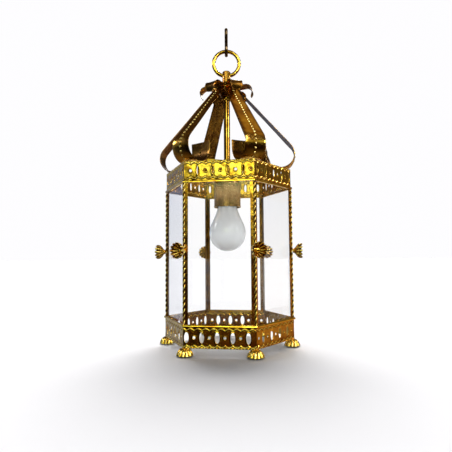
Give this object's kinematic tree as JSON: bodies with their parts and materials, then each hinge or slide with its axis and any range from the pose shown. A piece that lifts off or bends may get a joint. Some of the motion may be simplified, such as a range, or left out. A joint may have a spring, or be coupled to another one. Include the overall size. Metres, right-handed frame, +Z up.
{
  "type": "hanging lantern",
  "caption": "Hexagonal pierced-brass hanging lantern: glazed cage, bent strap crown, stem, ring and S-hook, screw-in lamp in an E27 holder, open at the bottom.",
  "frame": {"origin": "hang point: inside the top of the S-hook's upper bend, on the lantern's vertical axis", "axes": "+Z up along the lantern's axis, -Y square out through one glazed side (the front), +X through a corner"},
  "size_m": [0.2452, 0.224, 0.5356],
  "materials": {
    "polished_brass": "mirror-polished yellow brass",
    "band_brass": "polished, pierced and embossed sheet with dark patina in the relief",
    "post_brass": "rolled strip, polished on the ridge and dull inside",
    "strap_brass": "polished strip with brown lacquer tone and a raised bead line",
    "aged_brass": "satin, olive-brown patina",
    "dark_bronze": "dark brown bronze finish, mottled",
    "clear_glass": "clear flat glass",
    "opal_glass": "opal white, glossy",
    "ceramic": "unglazed cream porcelain",
    "nickel": "nickel plate",
    "black_glass": "black vitrite"
  },
  "bodies": {
    "hook": {"hanging_hook": "dark_bronze"},
    "ring": {"hanging_ring": "polished_brass"},
    "lantern": {"stem_tube": "polished_brass", "crown_hub": "aged_brass", "stem_collar": "polished_brass", "stem_nut": "aged_brass", "ring_ferrule": "polished_brass", "crown_strap_1": "strap_brass", "crown_strap_2": "strap_brass", "crown_strap_3": "strap_brass", "crown_strap_4": "strap_brass", "crown_strap_5": "strap_brass", "crown_strap_6": "strap_brass", "upper_band_1": "band_brass", "upper_band_2": "band_brass", "upper_band_3": "band_brass", "upper_band_4": "band_brass", "upper_band_5": "band_brass", "upper_band_6": "band_brass", "lower_band_1": "band_brass", "lower_band_2": "band_brass", "lower_band_3": "band_brass", "lower_band_4": "band_brass", "lower_band_5": "band_brass", "lower_band_6": "band_brass", "corner_post_1": "post_brass", "corner_post_2": "post_brass", "corner_post_3": "post_brass", "corner_post_4": "post_brass", "corner_post_5": "post_brass", "corner_post_6": "post_brass", "glass_pane_1": "clear_glass", "glass_pane_2": "clear_glass", "glass_pane_3": "clear_glass", "glass_pane_4": "clear_glass", "glass_pane_5": "clear_glass", "glass_pane_6": "clear_glass", "rosette_1": "polished_brass", "rosette_2": "polished_brass", "rosette_3": "polished_brass", "rosette_4": "polished_brass", "rosette_5": "polished_brass", "rosette_6": "polished_brass", "foot_1": "polished_brass", "foot_2": "polished_brass", "foot_3": "polished_brass", "foot_4": "polished_brass", "foot_5": "polished_brass", "foot_6": "polished_brass", "holder_dome": "aged_brass", "holder_skirt": "aged_brass", "holder_insert": "ceramic", "screw_shell": "nickel", "centre_contact": "aged_brass"},
    "lamp_carrier": {"lamp_insulator": "black_glass", "lamp_contact": "aged_brass"},
    "lamp": {"lamp_glass": "opal_glass", "lamp_cap": "nickel"}
  },
  "joints": [
    {"name": "ring_swing", "type": "hinge", "parent": "hook", "child": "ring", "pos_m": [0, 0, -0.04115], "axis": [-0.1414, 0.9899, 0], "range_deg": [-60, 60]},
    {"name": "lantern_swing", "type": "hinge", "parent": "ring", "child": "lantern", "pos_m": [0, 0, -0.079], "axis": [0.9899, 0.1414, 0], "range_deg": [-75, 75]},
    {"name": "lamp_travel", "type": "slide", "parent": "lantern", "child": "lamp_carrier", "axis": [0, 0, -1], "range_m": [0, 0.01086]},
    {"name": "lamp_turn", "type": "hinge", "parent": "lamp_carrier", "child": "lamp", "pos_m": [0, 0, -0.2895], "axis": [0, 0, -1], "range_deg": [0, 1080]}
  ],
  "couplings": [
    {"joint": "lamp_travel", "follows": "lamp_turn", "m_per_rad": 0.00057614}
  ]
}
